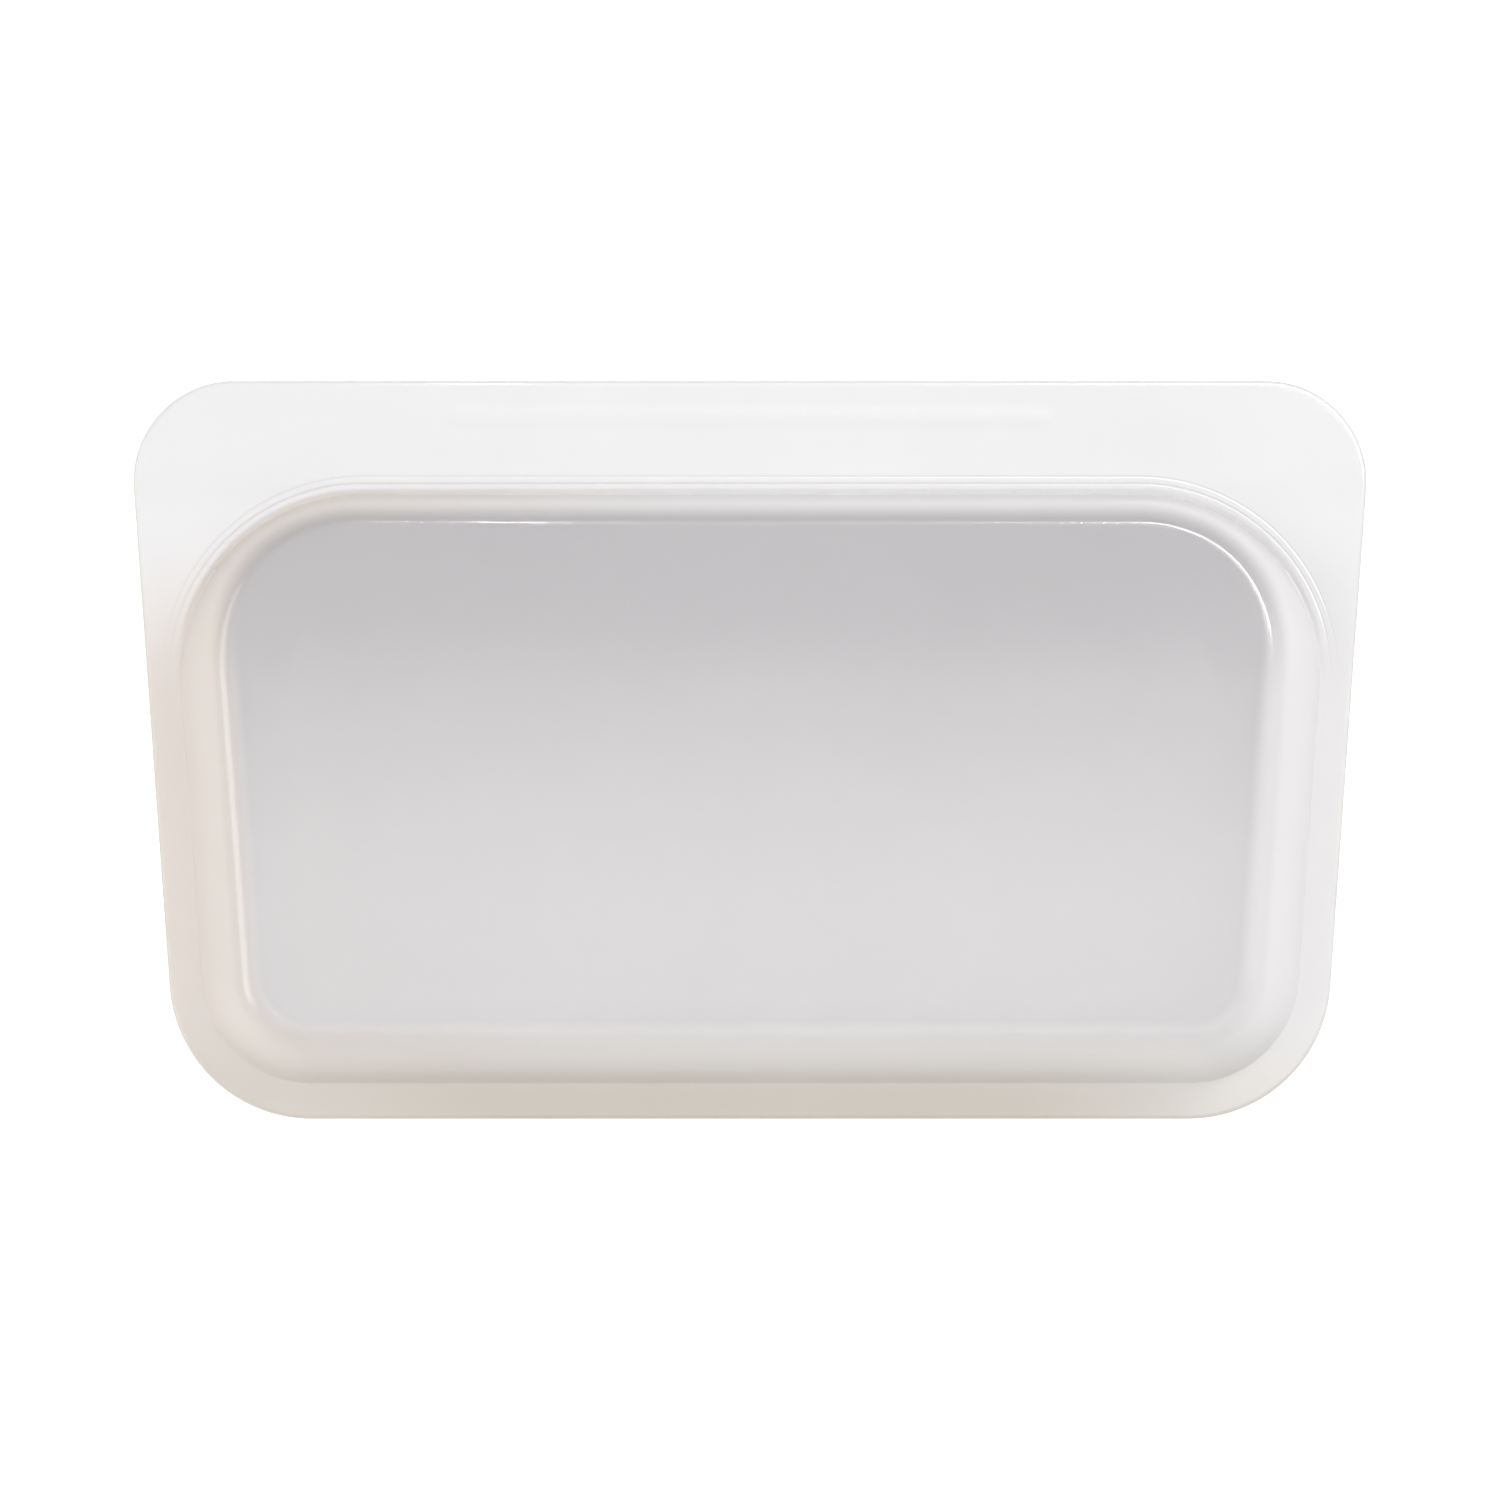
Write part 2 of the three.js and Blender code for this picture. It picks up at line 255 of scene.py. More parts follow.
def distance_to_seal(x, y):
    """Distance in plan from the seal's line, and past its ends the distance from the end."""
    centre, radius, end = seal_centre(), seal_radius(), sizes().seal_end_angle
    dx = np.abs(x) - centre[0]
    dy = y - centre[1]
    straight = np.abs(dy - radius)
    curled = np.abs(np.hypot(dx, dy) - radius)
    past_end = np.hypot(dx - radius * math.cos(end), dy - radius * math.sin(end))
    angle = np.arctan2(dy, dx)
    inside_arc = (angle >= end) & (angle <= math.pi / 2)
    return np.where(dx <= 0, straight, np.where(inside_arc, curled, past_end))


def distance_above_step(x, y):
    """How far outside the pocket's upper step and its round corners a point lies."""
    centre = seal_centre()
    dx = np.maximum(np.abs(x) - centre[0], 0)
    dy = y - centre[1]
    radial = np.where(dy > 0, np.hypot(dx, np.maximum(dy, 0)), dx)
    return radial - sizes().pocket_top_corner


def depth_in_grip_bar(x, y):
    """How far inside the outline of the grip bar a point lies."""
    radius = (GRIP_HIGH.y - GRIP_LOW.y) / 2
    reach = GRIP_HIGH.x - radius
    over = np.maximum(np.abs(x) - reach, 0)
    return radius - np.hypot(over, y - (GRIP_HIGH.y + GRIP_LOW.y) / 2)


# ---- Plan mesh of one half ----

EDGE_RINGS = 4
BAND_RINGS = 34
SLOPE_RINGS = 24
FLAT_RINGS = 10
STEP_CROWDING = 1.5
PAST_THE_SLOPE = 1.05
# Between these heights the sides steepen and the lip band fades in, towards the mouth.
WAVE_FROM, WAVE_TO = 0.008, 0.036


def local_slope(y):
    """Width of the sloping side at a height on the bag: it steepens towards the mouth."""
    s = sizes()
    share = np.clip((y - WAVE_FROM) / (WAVE_TO - WAVE_FROM), 0, 1)
    return s.side_slope + (s.top_slope - s.side_slope) * share * share * (3 - 2 * share)


def slope_gradient(share, width):
    """Steepness of the sloping side at a share of the way down it."""
    depth = BAG_HIGH.z - FRONT_RIM_HIGH.z
    share = np.clip(share, 0, 1)
    softness = sizes().crest_softness
    return depth / width * (1 - share) * ((1 - softness) * 6 * share + softness * 2)


def plan_rings(inner):
    """Rings of plan points from the bag's edge to the middle, and the middle.

    Each ring has its edge drop, how far down the slope and how far under the outer face its points lie.
    The inner face is a wall thickness away from the outer one.
    """
    s = sizes()
    bag, pocket = bag_outline(), pocket_outline()
    rings = []
    for i in range(EDGE_RINGS + 1):
        angle = math.pi / 2 * i / EDGE_RINGS
        inset = s.edge_round * (1 - math.cos(angle))
        rings.append((outline_points(bag, inset), s.edge_round * (1 - math.sin(angle)), 0.0))
    edge, step = rings[-1][0], outline_points(pocket)
    for i in range(1, BAND_RINGS):
        share = 1 - (1 - i / BAND_RINGS) ** STEP_CROWDING
        rings.append((edge + (step - edge) * share, 0.0, 0.0))
    widest = s.side_slope * PAST_THE_SLOPE
    for i in range(SLOPE_RINGS + 1):
        inset = widest * i / SLOPE_RINGS
        rings.append((outline_points(pocket, inset), 0.0, inset))
    measured = []
    for points, drop, inset in rings:
        width = local_slope(points[:, 1])
        share = inset / width
        rise = np.full(len(points), WALL if inner else 0.0)
        if inner and inset > 0:
            steep = slope_gradient(share, width)
            stretch = np.hypot(steep, 1.0)
            moved = outline_points(pocket, inset + WALL)
            points = points + (moved - points) * (steep / stretch)[:, None]
            rise = WALL / stretch
        measured.append((points, np.full(len(points), 0.0 if inner else drop), share, rise))
    floor, _, _, rise = measured[-1]
    middle = floor.mean(axis=0)
    for i in range(1, FLAT_RINGS):
        points = floor + (middle - floor) * i / FLAT_RINGS
        measured.append((points, np.zeros(len(floor)), np.ones(len(floor)), rise))
    return measured, middle


def add_cap(faces, ring_start, tip, here, after):
    """Triangles from a ring to the point in its middle."""
    faces += [[ring_start + int(i), ring_start + int(j), tip] for i, j in zip(here, after)]


def plan_mesh(name):
    """A closed double sheet, flat in plan, with the distances that its relief is made from."""
    outer, middle = plan_rings(False)
    inner, _ = plan_rings(True)
    count = len(outer[0][0])
    here = np.arange(count)
    after = (here + 1) % count
    rings = outer[::-1] + inner
    faces = []
    for ring in range(len(rings) - 1):
        low, high = ring * count, (ring + 1) * count
        faces += np.column_stack([low + here, high + here, high + after, low + after]).tolist()
    end = len(rings) * count
    add_cap(faces, 0, end, here, after)
    add_cap(faces, (len(rings) - 1) * count, end + 1, after, here)
    plan = np.vstack([ring[0] for ring in rings] + [middle[None]] * 2)
    tips = {"edge_drop": [0.0, 0.0], "slope_share": [1.0, 1.0], "wall_rise": [0.0, WALL]}
    mesh = bpy.data.meshes.new(name)
    mesh.from_pydata(np.column_stack([plan, np.zeros(len(plan))]).tolist(), [], faces)
    for index, key in enumerate(("edge_drop", "slope_share", "wall_rise"), start=1):
        write_attribute(mesh, key, np.concatenate([ring[index] for ring in rings] + [tips[key]]))
    inside = np.concatenate([np.zeros(len(outer) * count), np.ones(len(inner) * count), [0.0, 1.0]])
    write_attribute(mesh, "inner_face", inside)
    return mesh


def write_attribute(mesh, name, values):
    attribute = mesh.attributes.get(name) or mesh.attributes.new(name, "FLOAT", "POINT")
    attribute.data.foreach_set("value", np.asarray(values, np.float32))


def vertex_array(mesh):
    points = np.zeros(len(mesh.vertices) * 3, np.float32)
    mesh.vertices.foreach_get("co", points)
    return points.reshape(-1, 3).astype(float)


def measure_plan(mesh):
    """Writes the distances from the seal, the step and the grip bar."""
    points = vertex_array(mesh)
    x, y = points[:, 0], points[:, 1]
    write_attribute(mesh, "seal_distance", distance_to_seal(x, y))
    write_attribute(mesh, "above_step", distance_above_step(x, y))
    write_attribute(mesh, "grip_depth", depth_in_grip_bar(x, y))


def keep_side(mesh, y, above, close=True):
    """Cuts a plan mesh along a line across the bag, keeps one side of it and closes the cut."""
    work = bmesh.new()
    work.from_mesh(mesh)
    geometry = work.verts[:] + work.edges[:] + work.faces[:]
    bmesh.ops.bisect_plane(work, geom=geometry, plane_co=(0, y, 0), plane_no=(0, 1, 0),
                           clear_inner=above, clear_outer=not above)
    if close:
        open_edges = [edge for edge in work.edges if edge.is_boundary]
        bmesh.ops.holes_fill(work, edges=open_edges, sides=0)
    work.to_mesh(mesh)
    work.free()


# ---- Node helpers ----


class Tree:
    """A short way to write a node tree: nodes by type, with their inputs given by name or index."""

    def __init__(self, tree):
        self.tree = tree

    def node(self, kind, inputs=None, **settings):
        node = self.tree.nodes.new(kind)
        for key, value in settings.items():
            setattr(node, key, value)
        for key, value in (inputs or {}).items():
            socket = node.inputs[key]
            if isinstance(value, bpy.types.NodeSocket):
                self.tree.links.new(value, socket)
            else:
                socket.default_value = value
        return node

    def maths(self, operation, *values):
        node = self.node("ShaderNodeMath", dict(enumerate(values)), operation=operation)
        return node.outputs[0]

    def smooth(self, value, low, high, to_low=0.0, to_high=1.0):
        """A soft step from one value to another."""
        node = self.node("ShaderNodeMapRange", {
            "Value": value, "From Min": low, "From Max": high, "To Min": to_low, "To Max": to_high,
        }, interpolation_type="SMOOTHSTEP")
        return node.outputs["Result"]

    def mix(self, share, first, second, kind="RGBA"):
        """One value or colour mixed into another by a share."""
        first_input, second_input, result = {"RGBA": (6, 7, 2), "FLOAT": (2, 3, 0)}[kind]
        node = self.node("ShaderNodeMix", {0: share, first_input: first, second_input: second},
                         data_type=kind)
        return node.outputs[result]

    def link(self, source, target):
        self.tree.links.new(source, target)


def group_once(name, make):
    return bpy.data.node_groups.get(name) or make(name)


def add_sockets(tree, sockets):
    for name, direction, kind in sockets:
        tree.interface.new_socket(name, in_out=direction, socket_type=kind)


def set_inputs(modifier, values):
    """Sets a node modifier's inputs by their sockets' identifiers."""
    known = {item.name: item.identifier for item in modifier.node_group.interface.items_tree
             if item.item_type == "SOCKET" and item.in_out == "INPUT"}
    for name, value in values.items():
        modifier[known[name]] = value


CREASE_ANGLE = math.radians(80)


def make_plain(source, name):
    """The evaluated shape as a plain mesh on an object of its own. The source goes."""
    graph = bpy.context.evaluated_depsgraph_get()
    mesh = bpy.data.meshes.new_from_object(source.evaluated_get(graph))
    piece = bpy.data.objects.new(name, mesh)
    mesh.name = name
    bpy.context.scene.collection.objects.link(piece)
    bpy.data.objects.remove(source)
    mesh.shade_smooth()
    mesh.set_sharp_from_angle(angle=CREASE_ANGLE)
    return piece


def new_object(name, data):
    piece = bpy.data.objects.new(name, data)
    bpy.context.scene.collection.objects.link(piece)
    return piece


# ---- Geometry trees ----

SEAT_SHOULDER = 0.4 * MM
FLAT_STARTS = 0.6


def relief_tree(name):
    """Raises a flat double sheet into a dished half shell by the distances stored on it."""
    tree = bpy.data.node_groups.new(name, "GeometryNodeTree")
    floats = ["Level", "Direction", "Pocket Depth", "Lip Rise", "Lip Shoulder", "Lip End Low",
              "Lip End High", "Seat Half Width", "Seat Depth", "Grip Height", "Grip Shoulder", "Sag",
              "Crest Softness"]
    add_sockets(tree, [("Geometry", "INPUT", "NodeSocketGeometry")]
                + [(socket, "INPUT", "NodeSocketFloat") for socket in floats]
                + [("Material", "INPUT", "NodeSocketMaterial"),
                   ("Geometry", "OUTPUT", "NodeSocketGeometry")])
    t = Tree(tree)
    given = t.node("NodeGroupInput").outputs

    def stored(attribute):
        node = t.node("GeometryNodeInputNamedAttribute", {"Name": attribute}, data_type="FLOAT")
        return node.outputs["Attribute"]

    def total(*values):
        result = values[0]
        for value in values[1:]:
            result = t.maths("ADD", result, value)
        return result

    place = t.node("GeometryNodeInputPosition").outputs[0]
    plan = t.node("ShaderNodeSeparateXYZ", {0: place}).outputs
    inside = stored("inner_face")
    outside = t.maths("SUBTRACT", 1.0, inside)
    share = stored("slope_share")
    rest = t.maths("MAXIMUM", t.maths("SUBTRACT", 1.0, share), 0.0)
    domed = t.maths("SUBTRACT", 1.0, t.maths("MULTIPLY", rest, rest))
    even = t.smooth(share, 0.0, 1.0)
    profile = t.mix(given["Crest Softness"], even, domed, kind="FLOAT")
    dish = t.maths("MULTIPLY", profile, given["Pocket Depth"])
    rise = t.smooth(stored("above_step"), 0.0, given["Lip Shoulder"], 0.0, given["Lip Rise"])
    lip = t.maths("MULTIPLY", rise, t.smooth(plan["Y"], given["Lip End Low"], given["Lip End High"]))
    grip = t.smooth(stored("grip_depth"), 0.0, given["Grip Shoulder"], 0.0, given["Grip Height"])
    outer_relief = t.maths("MULTIPLY", total(lip, grip), outside)
    seat_end = t.maths("ADD", given["Seat Half Width"], SEAT_SHOULDER)
    groove = t.smooth(stored("seal_distance"), given["Seat Half Width"], seat_end,
                      given["Seat Depth"], 0.0)
    inner_relief = t.maths("MULTIPLY", groove, inside)
    waves = t.node("ShaderNodeTexNoise", {"Vector": place, "Scale": 14.0, "Detail": 1.0, "Roughness": 0.4})
    flatness = t.smooth(share, FLAT_STARTS, 1.0)
    sag = t.maths("MULTIPLY", t.maths("MULTIPLY", waves.outputs["Fac"], given["Sag"]), flatness)
    lost = total(sag, stored("edge_drop"), stored("wall_rise"))
    relief = t.maths("SUBTRACT", total(dish, outer_relief, inner_relief), lost)
    height = t.maths("MULTIPLY_ADD", relief, given["Direction"], given["Level"])
    moved = t.node("ShaderNodeCombineXYZ", {"X": plan["X"], "Y": plan["Y"], "Z": height})
    shaped = t.node("GeometryNodeSetPosition",
                    {"Geometry": given["Geometry"], "Position": moved.outputs[0]})
    realized = t.node("GeometryNodeRealizeInstances", {0: shaped.outputs[0]})
    finished = t.node("GeometryNodeSetMaterial",
                      {0: realized.outputs[0], "Material": given["Material"]})
    t.node("NodeGroupOutput", {0: finished.outputs[0]})
    return tree


def strip_tree(name):
    """Sweeps a section along the seal's line and closes its ends."""
    tree = bpy.data.node_groups.new(name, "GeometryNodeTree")
    add_sockets(tree, [("Geometry", "INPUT", "NodeSocketGeometry"),
                       ("Section", "INPUT", "NodeSocketObject"),
                       ("Material", "INPUT", "NodeSocketMaterial"),
                       ("Geometry", "OUTPUT", "NodeSocketGeometry")])
    t = Tree(tree)
    given = t.node("NodeGroupInput").outputs
    section = t.node("GeometryNodeObjectInfo", {"Object": given["Section"]}, transform_space="ORIGINAL")
    upright = t.node("GeometryNodeSetCurveNormal", {0: given["Geometry"]}, mode="Z_UP")
    swept = t.node("GeometryNodeCurveToMesh", {"Curve": upright.outputs[0],
                                               "Profile Curve": section.outputs["Geometry"],
                                               "Fill Caps": True})
    realized = t.node("GeometryNodeRealizeInstances", {0: swept.outputs[0]})
    finished = t.node("GeometryNodeSetMaterial", {0: realized.outputs[0], "Material": given["Material"]})
    t.node("NodeGroupOutput", {0: finished.outputs[0]})
    return tree


def poly_curve(name, points, closed):
    curve = bpy.data.curves.new(name, "CURVE")
    curve.dimensions = "3D"
    spline = curve.splines.new("POLY")
    spline.points.add(len(points) - 1)
    for slot, point in zip(spline.points, points):
        slot.co = (*point, 1.0)
    spline.use_cyclic_u = closed
    return new_object(name, curve)


# ---- Shader groups and materials ----

IOR_OF_SILICONE = 1.43
COAT_ROUGHNESS = 0.08
CLOUD_SCALE, GRAIN_SCALE, SPECK_SCALE = 26.0, 1400.0, 240.0
SPECK_RARITY = (0.93, 0.99)
SPECK_SIZE = (0.05, 0.12)

# How far down the slope the wall starts to thin, low on the bag and by the mouth, and over how long.
THINS_FROM_LOW, THINS_FROM_HIGH, THINS_OVER = 0.52, 0.25, 0.6
# The fine lines above the step: where they fade in and out, their spacing and the width of one.
LINES_FADE_IN = (0.0008, 0.0014)
LINES_FADE_OUT = (0.0021, 0.0036)
LINE_SPACING = 0.55
LINE_WIDTH = (0.30, LINE_SPACING)
TINTED_EDGE_DROP = 0.4 * MM
# Heights between which the painted shade under the lip fades out of the pocket, and between which painted
# shade grows on the bottom flange.
LIP_SHADE_FADES_FROM, LIP_SHADE_FADES_TO = BAG_HIGH.y * 0.6, BAG_LOW.y * 0.5
BOTTOM_SHADE_FROM, BOTTOM_SHADE_TO = BAG_LOW.y * 0.70, BAG_LOW.y * 0.98
# Painted shade on the bottom flange is full in its middle and falls to a share of that at its sides.
BOTTOM_SHADE_MIDDLE, BOTTOM_SHADE_SIDES, BOTTOM_SHADE_AT_SIDES = BAG_HIGH.x * 0.4, BAG_HIGH.x * 0.9, 0.45

WHITE = (1.0, 1.0, 1.0)
STEP_LINE_TINT, EDGE_TINT = 0.3, 0.6
CLOUD_TINT, SPECK_TINT = 0.08, 0.3
CLOUD_OPACITY, SPECK_OPACITY = 0.05, 0.2
STEP_LINE_HEIGHT = -10.0
ROUGHNESS_DRIFT, SPECK_ROUGHNESS = 0.12, 0.25
PLAIN_CLOUD_TINT, PLAIN_CLOUD_OPACITY = 0.12, 0.08
SHELL_ROUGHNESS = 0.3
SEAL_ALPHA, SEAL_ROUGHNESS = 0.8, 0.36
BOND_ALPHA, BOND_ROUGHNESS = 0.6, 0.4


def haze_group(name):
    """Soft clouds, fine grain and a few specks of dust, on object coordinates."""
    tree = bpy.data.node_groups.new(name, "ShaderNodeTree")
    floats = [("Cloud Scale", "INPUT"), ("Grain Scale", "INPUT"), ("Speck Scale", "INPUT"),
              ("Cloud", "OUTPUT"), ("Grain", "OUTPUT"), ("Specks", "OUTPUT")]
    add_sockets(tree, [(socket, direction, "NodeSocketFloat") for socket, direction in floats])
    t = Tree(tree)
    given = t.node("NodeGroupInput").outputs
    place = t.node("ShaderNodeTexCoord").outputs["Object"]
    cloud = t.node("ShaderNodeTexNoise", {"Vector": place, "Scale": given["Cloud Scale"], "Detail": 3.0,
                                          "Roughness": 0.55, "Distortion": 0.3})
    grain = t.node("ShaderNodeTexNoise", {"Vector": place, "Scale": given["Grain Scale"], "Detail": 3.0,
                                          "Roughness": 0.6})
    cells = t.node("ShaderNodeTexVoronoi", {"Vector": place, "Scale": given["Speck Scale"],
                                            "Randomness": 1.0})
    rare = t.smooth(cells.outputs["Color"], *SPECK_RARITY)
    specks = t.maths("MULTIPLY", t.smooth(cells.outputs["Distance"], *SPECK_SIZE, 1.0, 0.0), rare)
    out = t.node("NodeGroupOutput")
    t.link(cloud.outputs["Fac"], out.inputs["Cloud"])
    t.link(grain.outputs["Fac"], out.inputs["Grain"])
    t.link(specks, out.inputs["Specks"])
    return tree


def zones_group(name):
    """Masks that follow the moulding: the pocket, the lines by its step, the lip, the edge and the sides,
    and the painted shade under the lip and on the bottom flange.
    """
    tree = bpy.data.node_groups.new(name, "ShaderNodeTree")
    names = ["Pocket", "Step Lines", "Lip", "Edge", "Left", "Middle", "Low"]
    add_sockets(tree, [("Lip Shoulder", "INPUT", "NodeSocketFloat")]
                + [(zone, "OUTPUT", "NodeSocketFloat") for zone in names])
    t = Tree(tree)
    given = t.node("NodeGroupInput").outputs

    def stored(attribute):
        return t.node("ShaderNodeAttribute", attribute_name=attribute).outputs["Fac"]

    place = t.node("ShaderNodeSeparateXYZ", {0: t.node("ShaderNodeTexCoord").outputs["Object"]}).outputs
    thins_from = t.smooth(place["Y"], WAVE_FROM, WAVE_TO, THINS_FROM_LOW, THINS_FROM_HIGH)
    pocket = t.smooth(stored("slope_share"), thins_from, t.maths("ADD", thins_from, THINS_OVER))
    above = stored("above_step")
    lip = t.maths("MULTIPLY", t.smooth(above, 0.0, given["Lip Shoulder"]),
                  t.smooth(place["Y"], WAVE_FROM, WAVE_TO))
    ripple = t.maths("PINGPONG", t.maths("MULTIPLY", above, 1 / MM), LINE_SPACING)
    by_step = t.maths("MULTIPLY", t.smooth(above, *LINES_FADE_IN),
                      t.smooth(above, *LINES_FADE_OUT, 1.0, 0.0))
    lines = t.maths("MULTIPLY", t.maths("MULTIPLY", t.smooth(ripple, *LINE_WIDTH), by_step), lip)
    edge = t.smooth(stored("edge_drop"), 0.0, TINTED_EDGE_DROP)
    left = t.smooth(place["X"], 0.0, BAG_LOW.x)
    # Middle fades out the painted shade under the lip, from high on the pocket to further down.
    middle = t.smooth(place["Y"], LIP_SHADE_FADES_FROM, LIP_SHADE_FADES_TO)
    # Low is painted shade on the bottom flange, strongest in its middle.
    middle_of_bottom = t.smooth(t.maths("ABSOLUTE", place["X"]), BOTTOM_SHADE_MIDDLE, BOTTOM_SHADE_SIDES,
                                1.0, BOTTOM_SHADE_AT_SIDES)
    low = t.maths("MULTIPLY", t.smooth(place["Y"], BOTTOM_SHADE_FROM, BOTTOM_SHADE_TO), middle_of_bottom)
    out = t.node("NodeGroupOutput")
    for zone, value in zip(names, [pocket, lines, lip, edge, left, middle, low]):
        t.link(value, out.inputs[zone])
    return tree


def opaque(colour):
    return (*colour, 1.0)


def silicone_base(name):
    """A new milky silicone, its shader, its tree and the haze that all silicone has."""
    material = bpy.data.materials.new(name)
    material.use_nodes = True
    material.surface_render_method = "BLENDED"
    shader = material.node_tree.nodes["Principled BSDF"]
    shader.inputs["IOR"].default_value = IOR_OF_SILICONE
    shader.inputs["Coat Weight"].default_value = 1.0
    shader.inputs["Coat Roughness"].default_value = COAT_ROUGHNESS
    shader.inputs["Coat IOR"].default_value = IOR_OF_SILICONE
    t = Tree(material.node_tree)
    haze = t.node("ShaderNodeGroup", node_tree=group_once("silicone_haze", haze_group))
    haze.inputs["Cloud Scale"].default_value = CLOUD_SCALE
    haze.inputs["Grain Scale"].default_value = GRAIN_SCALE
    haze.inputs["Speck Scale"].default_value = SPECK_SCALE
    return material, shader, t, haze.outputs


def finish_surface(t, shader, haze, roughness, height):
    """Roughness that drifts with the haze, and the fine grain of a moulded surface."""
    drift = t.maths("MULTIPLY_ADD", haze["Cloud"], ROUGHNESS_DRIFT, roughness - ROUGHNESS_DRIFT / 2)
    t.link(t.maths("MULTIPLY_ADD", haze["Specks"], SPECK_ROUGHNESS, drift), shader.inputs["Roughness"])
    bump = t.node("ShaderNodeBump", {"Height": height, "Strength": 0.35, "Distance": 0.00004})
    t.link(bump.outputs["Normal"], shader.inputs["Normal"])


def moulded_material(name):
    """Half shells: milky borders that thin out to a clearer pocket, with painted shade under the lip and on
    the bottom flange.
    """
    c = colours()
    material, shader, t, haze = silicone_base(name)
    zones_node = t.node("ShaderNodeGroup", node_tree=group_once("moulding_zones", zones_group))
    zones_node.inputs["Lip Shoulder"].default_value = sizes().lip_shoulder
    zones = zones_node.outputs
    flange = t.mix(zones["Left"], opaque(c.flange), opaque(c.warm_flange))
    border = t.mix(zones["Lip"], flange, opaque(c.border))
    # Painted shade darkens the bottom flange towards its middle.
    border = t.mix(zones["Low"], border, opaque(c.shaded_low_flange))
    # Painted shade under the lip darkens the pocket near the mouth and fades further down.
    thin = t.mix(zones["Middle"], opaque(c.pocket), opaque(c.low_pocket))
    colour = t.mix(zones["Pocket"], border, thin)
    tints = ((zones["Step Lines"], STEP_LINE_TINT, c.step_line), (zones["Edge"], EDGE_TINT, c.edge),
             (haze["Cloud"], CLOUD_TINT, WHITE), (haze["Specks"], SPECK_TINT, WHITE))
    for mask, strength, tint in tints:
        colour = t.mix(t.maths("MULTIPLY", mask, strength), colour, opaque(tint))
    t.link(colour, shader.inputs["Base Color"])
    lip_alpha = t.mix(zones["Lip"], c.flange_alpha, c.border_alpha, kind="FLOAT")
    alpha = t.mix(zones["Pocket"], lip_alpha, c.pocket_alpha, kind="FLOAT")
    drifted = t.maths("MULTIPLY_ADD", haze["Cloud"], CLOUD_OPACITY, alpha)
    t.link(t.maths("MULTIPLY_ADD", haze["Specks"], SPECK_OPACITY, drifted), shader.inputs["Alpha"])
    height = t.maths("MULTIPLY_ADD", zones["Step Lines"], STEP_LINE_HEIGHT, haze["Grain"])
    finish_surface(t, shader, haze, SHELL_ROUGHNESS, height)
    return material


def plain_material(name, colour, alpha, roughness):
    """Small mouldings of one thickness."""
    material, shader, t, haze = silicone_base(name)
    clouded = t.mix(t.maths("MULTIPLY", haze["Cloud"], PLAIN_CLOUD_TINT), opaque(colour), opaque(WHITE))
    t.link(clouded, shader.inputs["Base Color"])
    drifted = t.maths("MULTIPLY_ADD", haze["Cloud"], PLAIN_CLOUD_OPACITY, alpha - PLAIN_CLOUD_OPACITY / 2)
    t.link(drifted, shader.inputs["Alpha"])
    finish_surface(t, shader, haze, roughness, haze["Grain"])
    return material


def material_once(name, make, *values):
    return bpy.data.materials.get(name) or make(name, *values)


# ---- Pieces ----

BODY = "bag_body"

STRIP_STEPS = 64
STRIP_INSET = 0.65 * MM
STRIP_GAP = 0.05 * MM
RIB_WIDTH = 0.9 * MM
CHANNEL_FLOOR = 0.45 * MM
CHANNEL_CORNER = 0.2 * MM
TONGUE_WIDTH = 1.6 * MM
TONGUE_NECK = 1.1 * MM
TONGUE_TIP = 0.6
TONGUE_SWELL = 0.35 * MM
NECK_STARTS = 0.8 * MM
TONGUE_CORNER = 0.12 * MM
RIB_TOP_GAP = 0.25 * MM
SEAM_INSET = 0.02 * MM
CORNER_SHARES = (0.0, 0.33, 0.67, 1.0)


def half_skin(name, front, keep=None):
    """One half shell, or the part of it on one side of a line, with a real wall."""
    s = sizes()
    mesh = plan_mesh(name + "_plan")
    if keep is not None:
        keep_side(mesh, *keep)
    measure_plan(mesh)
    if not front:
        mesh.flip_normals()
    source = new_object(name + "_plan", mesh)
    relief = source.modifiers.new("relief", "NODES")
    relief.node_group = group_once("moulded_relief", relief_tree)
    set_inputs(relief, {
        "Level": FRONT_RIM_HIGH.z if front else BACK_RIM_LOW.z,
        "Direction": 1.0 if front else -1.0,
        "Pocket Depth": BAG_HIGH.z - FRONT_RIM_HIGH.z,
        "Lip Rise": s.lip_rise,
        "Lip Shoulder": s.lip_shoulder,
        "Lip End Low": WAVE_FROM,
        "Lip End High": WAVE_TO,
        "Seat Half Width": s.seat_half,
        "Seat Depth": TONGUE_HIGH.z - STRIP_INSET - FRONT_RIM_LOW.z + STRIP_GAP,
        "Grip Height": s.grip_height,
        "Grip Shoulder": s.grip_shoulder,
        "Sag": s.sag,
        "Crest Softness": s.crest_softness,
        "Material": material_once("moulded_silicone", moulded_material),
    })
    return make_plain(source, name)


def swept_strip(name, section, level, material):
    """A strip of this section along the seal, with its lowest face at a level."""
    path = poly_curve(name + "_path", [(x, y, level) for x, y in seal_line(STRIP_STEPS)], False)
    outline = poly_curve(name + "_section", [(x, -y, 0.0) for x, y in reversed(section)], True)
    sweep = path.modifiers.new("sweep", "NODES")
    sweep.node_group = group_once("swept_strip", strip_tree)
    set_inputs(sweep, {"Section": outline, "Material": material})
    piece = make_plain(path, name)
    bpy.data.objects.remove(outline)
    return piece


